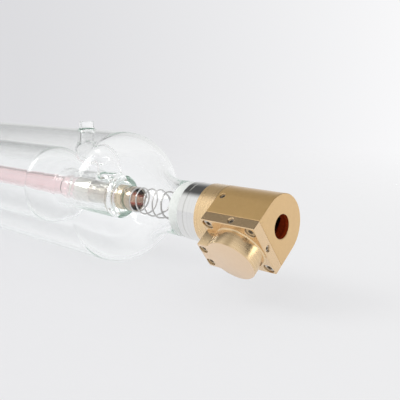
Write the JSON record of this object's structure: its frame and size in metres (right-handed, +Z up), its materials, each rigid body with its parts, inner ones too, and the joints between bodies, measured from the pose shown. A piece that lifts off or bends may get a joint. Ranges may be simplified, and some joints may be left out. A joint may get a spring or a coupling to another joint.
{
  "type": "sealed co2 laser tube",
  "caption": "Sealed glass CO2 laser tube with a water jacket, inner discharge tube, wire contact springs and a brass beam head whose capped side plate holds the pointer.",
  "frame": {"origin": "centre of the beam aperture at the exit face of the head", "axes": "+X along the laser beam, out of the exit face; +Z up as the tube lies, through the water nozzles; the tube's axis is Y = 0, Z = 0"},
  "size_m": [1.2, 0.0798, 0.085],
  "materials": {
    "clear_glass": "clear borosilicate glass, fire polished",
    "pink_glass": "glass with a faint pink tint",
    "lens_glass": "polished lens",
    "brass": "machined brass, fine turning and milling marks",
    "ferrule_steel": "turned steel, bright",
    "steel": "bright spring steel",
    "screw_steel": "plain steel screws",
    "electrode_metal": "rolled metal with straw and brown heat tints",
    "dark_aluminium": "black anodised",
    "plain_aluminium": "plain turned",
    "amber_optic": "polished zinc selenide, dark amber",
    "gold_mirror": "gold coated silicon",
    "black_rubber": "smooth rubber"
  },
  "bodies": {
    "root": {"outer_envelope": "clear_glass", "water_jacket": "clear_glass", "discharge_tube": "pink_glass", "front_electrode_sleeve": "clear_glass", "rear_electrode_sleeve": "clear_glass", "outlet_elbow": "clear_glass", "outlet_nozzle": "clear_glass", "inlet_nozzle": "clear_glass", "gas_return_coil": "clear_glass", "spring_supports": "steel", "cathode": "electrode_metal", "cathode_spring": "steel", "anode": "electrode_metal", "anode_spring": "steel", "front_ferrule": "ferrule_steel", "mirror_ring": "brass", "output_mirror": "amber_optic", "output_seal": "black_rubber", "output_retainer": "brass", "head_block": "brass", "ring_set_screws": "screw_steel", "combiner_carrier": "dark_aluminium", "combiner_mirror": "amber_optic", "pointer_plate": "brass", "plate_screws": "screw_steel", "pointer_set_screws": "screw_steel", "pointer_module": "plain_aluminium", "pointer_lens": "lens_glass", "pointer_cap": "brass", "cap_screws": "screw_steel", "rear_ferrule": "ferrule_steel", "rear_mount": "brass", "rear_mirror": "gold_mirror", "rear_seal": "black_rubber", "rear_cover": "brass", "terminal_screw": "steel"}
  },
  "joints": []
}
